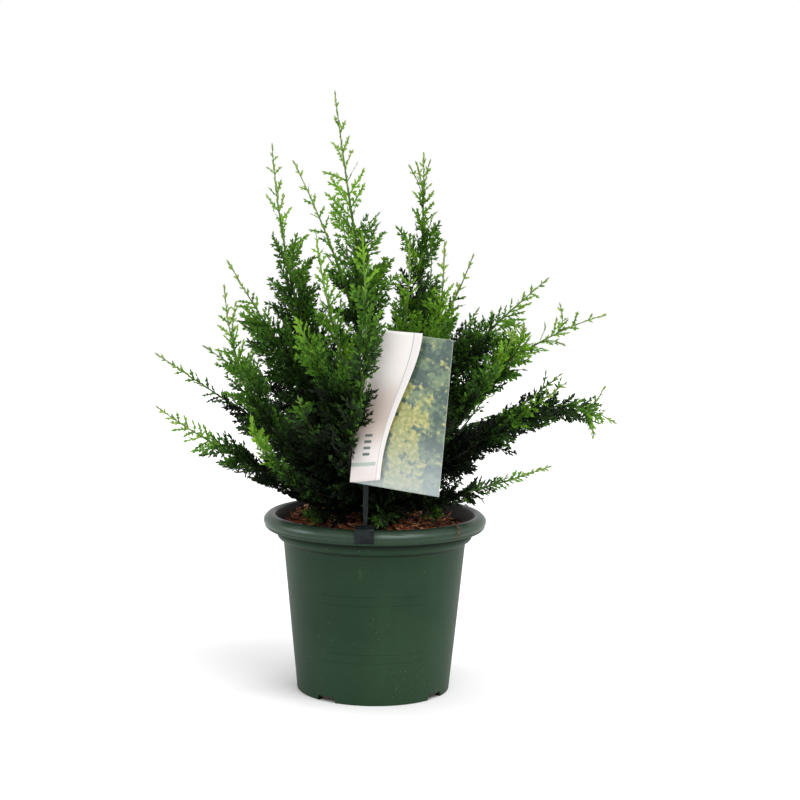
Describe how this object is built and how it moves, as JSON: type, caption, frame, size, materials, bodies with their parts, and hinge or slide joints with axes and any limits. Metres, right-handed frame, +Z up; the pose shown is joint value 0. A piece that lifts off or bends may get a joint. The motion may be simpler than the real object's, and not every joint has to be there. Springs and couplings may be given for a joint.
{
  "type": "potted dwarf conifer",
  "caption": "Young dwarf hinoki cypress with several upright and spreading leaders of flat scale-leaved sprays, in a round tapered nursery pot with a clip-on plant label.",
  "frame": {"origin": "middle of the pot's flat underside, on the surface that the pot stands on", "axes": "+Z up, along the plant's height; -Y towards the viewer, with the label's clip on the rim at -Y; +X to the viewer's right"},
  "size_m": [0.4004, 0.284, 0.5099],
  "materials": {
    "pot_plastic": "dark green moulded plastic, satin",
    "bark_mulch": "loose shredded bark, rough",
    "bark": "thin fibrous bark, matte",
    "foliage": "scale-leaved sprays, soft satin",
    "label_print": "laminated printed card, glossy",
    "holder_plastic": "dark slate moulded plastic, satin"
  },
  "bodies": {
    "root": {"pot": "pot_plastic", "soil": "bark_mulch", "trunk": "bark", "label_card": "label_print", "label_holder": "holder_plastic", "bough_left_leader": "bark", "bough_front_leader": "bark", "bough_front_left_plume": "bark", "bough_left_upper": "bark", "bough_left_front_upper": "bark", "bough_left_long": "bark", "bough_left_low": "bark", "bough_front_left_low": "bark", "bough_front_plume": "bark", "bough_right_leader": "bark", "bough_right_front_upper": "bark", "bough_right_upper": "bark", "bough_right_long": "bark", "bough_right_low": "bark", "bough_right_back_low": "bark", "bough_back_left_low": "bark", "bough_back_middle_low": "bark", "bough_back_right_low": "bark", "foliage_leader": "foliage", "foliage_left_leader": "foliage", "foliage_slim_leader": "foliage", "foliage_front_leader": "foliage", "foliage_front_left_plume": "foliage", "foliage_left_upper": "foliage", "foliage_left_front_upper": "foliage", "foliage_left_back_wisp": "foliage", "foliage_left_long": "foliage", "foliage_left_low": "foliage", "foliage_front_left_low": "foliage", "foliage_front_left_inner": "foliage", "foliage_front_plume": "foliage", "foliage_front_low": "foliage", "foliage_front_inner": "foliage", "foliage_right_leader": "foliage", "foliage_right_front_slim": "foliage", "foliage_right_front_upper": "foliage", "foliage_right_slim": "foliage", "foliage_right_back_wisp": "foliage", "foliage_right_upper": "foliage", "foliage_right_front_mid": "foliage", "foliage_right_long": "foliage", "foliage_right_low": "foliage", "foliage_right_back_low": "foliage", "foliage_right_lowest": "foliage", "foliage_back_leader": "foliage", "foliage_back_right_upper": "foliage", "foliage_back_left_upper": "foliage", "foliage_back_middle_upper": "foliage", "foliage_back_left_low": "foliage", "foliage_back_middle_low": "foliage", "foliage_back_right_low": "foliage", "foliage_back_right_mid": "foliage", "foliage_back_left_lowest": "foliage"}
  },
  "joints": []
}
